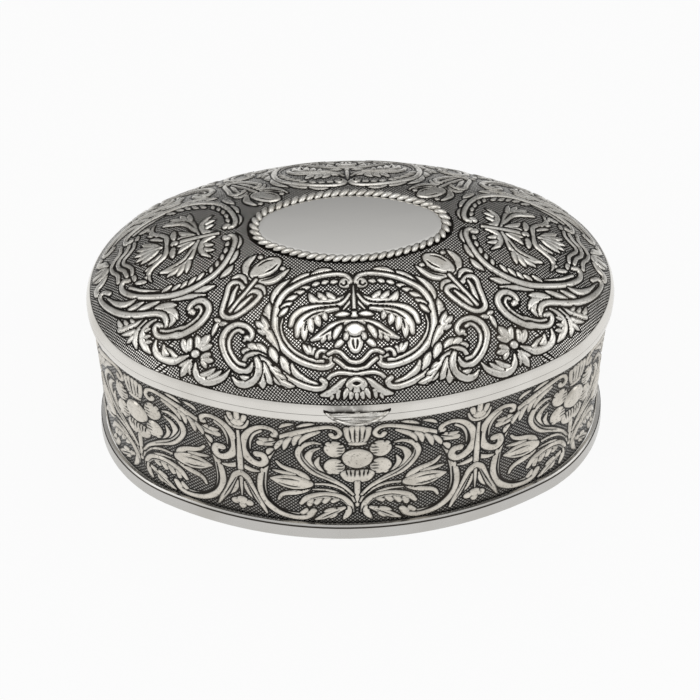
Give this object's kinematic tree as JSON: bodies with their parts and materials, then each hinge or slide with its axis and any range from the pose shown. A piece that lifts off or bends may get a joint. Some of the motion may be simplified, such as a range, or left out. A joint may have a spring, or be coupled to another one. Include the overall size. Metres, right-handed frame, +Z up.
{
  "type": "oval trinket box",
  "caption": "Oval hinged trinket box with a domed embossed lid, a polished oval plate in a rope border, an embossed side wall, a half-moon thumb catch and a velvet-lined inside.",
  "frame": {"origin": "on the ground plane, below the middle of the closed box", "axes": "+Z up, +X along the long side of the oval, the lid opens from -Y and its hinge is at +Y"},
  "size_m": [0.1526, 0.1066, 0.075],
  "materials": {
    "embossed_silver": "silver plate over an embossed sheet, raised parts polished, recesses blackened",
    "polished_silver": "polished silver plate with fine rubbing marks",
    "velvet": "short pile velvet over card",
    "felt": "thin dark felt"
  },
  "bodies": {
    "body": {"body_wall": "embossed_silver", "body_rim_moulding": "polished_silver", "foot_moulding": "polished_silver", "base_plate": "polished_silver", "base_felt": "felt", "wall_lining": "velvet", "floor_pad": "velvet", "hinge_body_leaf": "polished_silver", "hinge_pin": "polished_silver"},
    "lid": {"lid_shell": "embossed_silver", "thumb_catch": "polished_silver", "lid_lining": "velvet", "hinge_lid_leaf": "polished_silver"}
  },
  "joints": [
    {"name": "lid_hinge", "type": "hinge", "parent": "body", "child": "lid", "pos_m": [0, 0.0513, 0.05112], "axis": [-1, 0, 0], "range_deg": [0, 100]}
  ]
}
